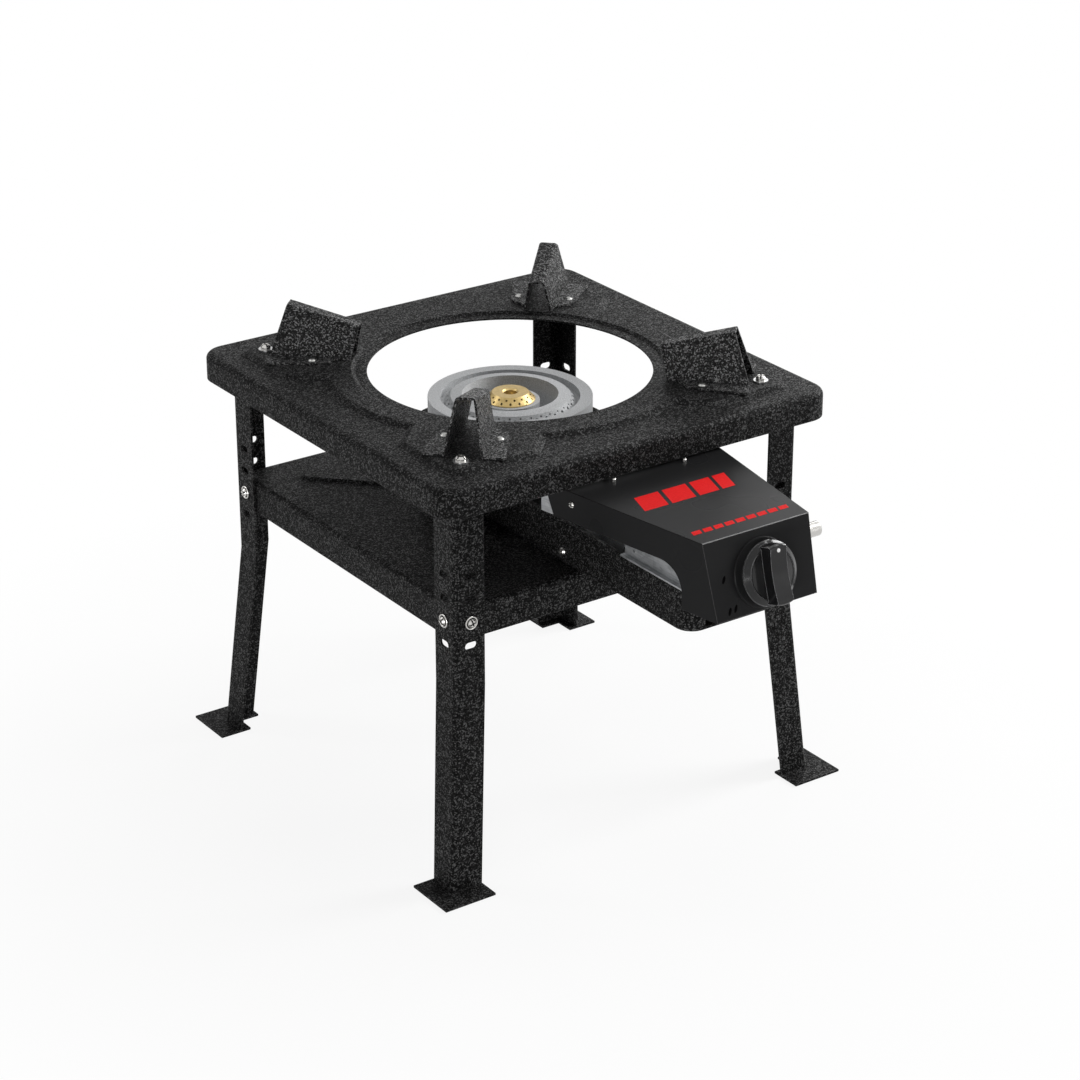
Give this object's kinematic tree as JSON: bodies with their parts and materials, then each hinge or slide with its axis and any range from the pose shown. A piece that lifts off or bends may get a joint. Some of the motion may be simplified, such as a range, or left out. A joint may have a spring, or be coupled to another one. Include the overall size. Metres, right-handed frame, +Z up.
{
  "type": "gas stove",
  "caption": "Free-standing high-pressure gas stove: square plate with a round opening and folded pot supports on splayed angle legs, ring burner, tray, and a tap under a sheet cover",
  "frame": {"origin": "on the floor, under the middle of the stove's whole outline, from the knob's front to the rear feet", "axes": "+Z up, the knob faces -Y, +X to the right seen from the knob's side"},
  "size_m": [0.427, 0.5974, 0.421],
  "materials": {
    "black_coat": "hammered powder coat, black with fine grey speckle",
    "satin_black": "smooth satin black paint",
    "zinc": "galvanised sheet, dull",
    "cast_metal": "as cast, with turned faces",
    "brass": "turned brass",
    "bright": "bright plated steel",
    "steel_bar": "turned steel",
    "knob_plastic": "black, half gloss",
    "white_mark": "white mark",
    "seal": "matt"
  },
  "bodies": {
    "frame": {"top_plate": "black_coat", "pot_support_front_left": "black_coat", "pot_support_front_right": "black_coat", "pot_support_back_left": "black_coat", "pot_support_back_right": "black_coat", "support_rivets": "bright", "leg_front_left": "black_coat", "leg_front_right": "black_coat", "leg_back_left": "black_coat", "leg_back_right": "black_coat", "corner_bolts": "bright", "corner_washers": "bright", "corner_nuts": "bright", "drip_tray": "black_coat", "tray_screws": "bright", "tray_nuts": "bright", "burner_channel": "black_coat", "channel_screws": "bright", "channel_nuts": "bright", "burner_dish": "black_coat", "burner_body": "cast_metal", "burner_screws": "bright", "tube_saddle": "zinc", "saddle_screws": "bright", "shutter_springs": "bright", "jet_bracket": "zinc", "jet_screws": "bright", "outer_jet": "brass", "inner_jet": "brass", "gas_pipes": "brass", "valve_bracket": "zinc", "control_cover": "satin_black", "cover_studs": "bright", "cover_nuts": "bright", "cover_screws": "bright", "cover_pins": "bright", "valve_body": "brass", "valve_screws": "bright", "valve_gland": "brass", "knob_bezel": "knob_plastic", "inlet_nipple": "bright", "inlet_seal": "seal"},
    "tap_plug": {"valve_plug": "brass", "stem_spring": "bright"},
    "knob": {"valve_stem": "steel_bar", "control_knob": "knob_plastic", "knob_pointer": "white_mark"},
    "ring_head": {"burner_ring": "cast_metal"},
    "centre_cap": {"burner_cap": "brass"},
    "outer_shutter": {"air_shutter_outer": "zinc"},
    "inner_shutter": {"air_shutter_inner": "zinc"}
  },
  "joints": [
    {"name": "knob_turn", "type": "hinge", "parent": "frame", "child": "tap_plug", "pos_m": [0, -0.26802, 0.30988], "axis": [0, -0.9617, 0.274], "range_deg": [0, 126]},
    {"name": "knob_push", "type": "slide", "parent": "tap_plug", "child": "knob", "axis": [0, 0.9617, -0.274], "range_m": [0, 0.003], "stiffness_N_per_m": 500, "springref_m": -0.004},
    {"name": "ring_lift", "type": "slide", "parent": "frame", "child": "ring_head", "axis": [0, 0, 1], "range_m": [0, 0.08]},
    {"name": "cap_lift", "type": "slide", "parent": "frame", "child": "centre_cap", "axis": [0, 0, 1], "range_m": [0, 0.06]},
    {"name": "outer_shutter_turn", "type": "hinge", "parent": "frame", "child": "outer_shutter", "pos_m": [0.018, -0.12545, 0.277], "axis": [0, -1, 0], "range_deg": [0, 60]},
    {"name": "inner_shutter_turn", "type": "hinge", "parent": "frame", "child": "inner_shutter", "pos_m": [-0.018, -0.12545, 0.277], "axis": [0, -1, 0], "range_deg": [0, 60]}
  ]
}
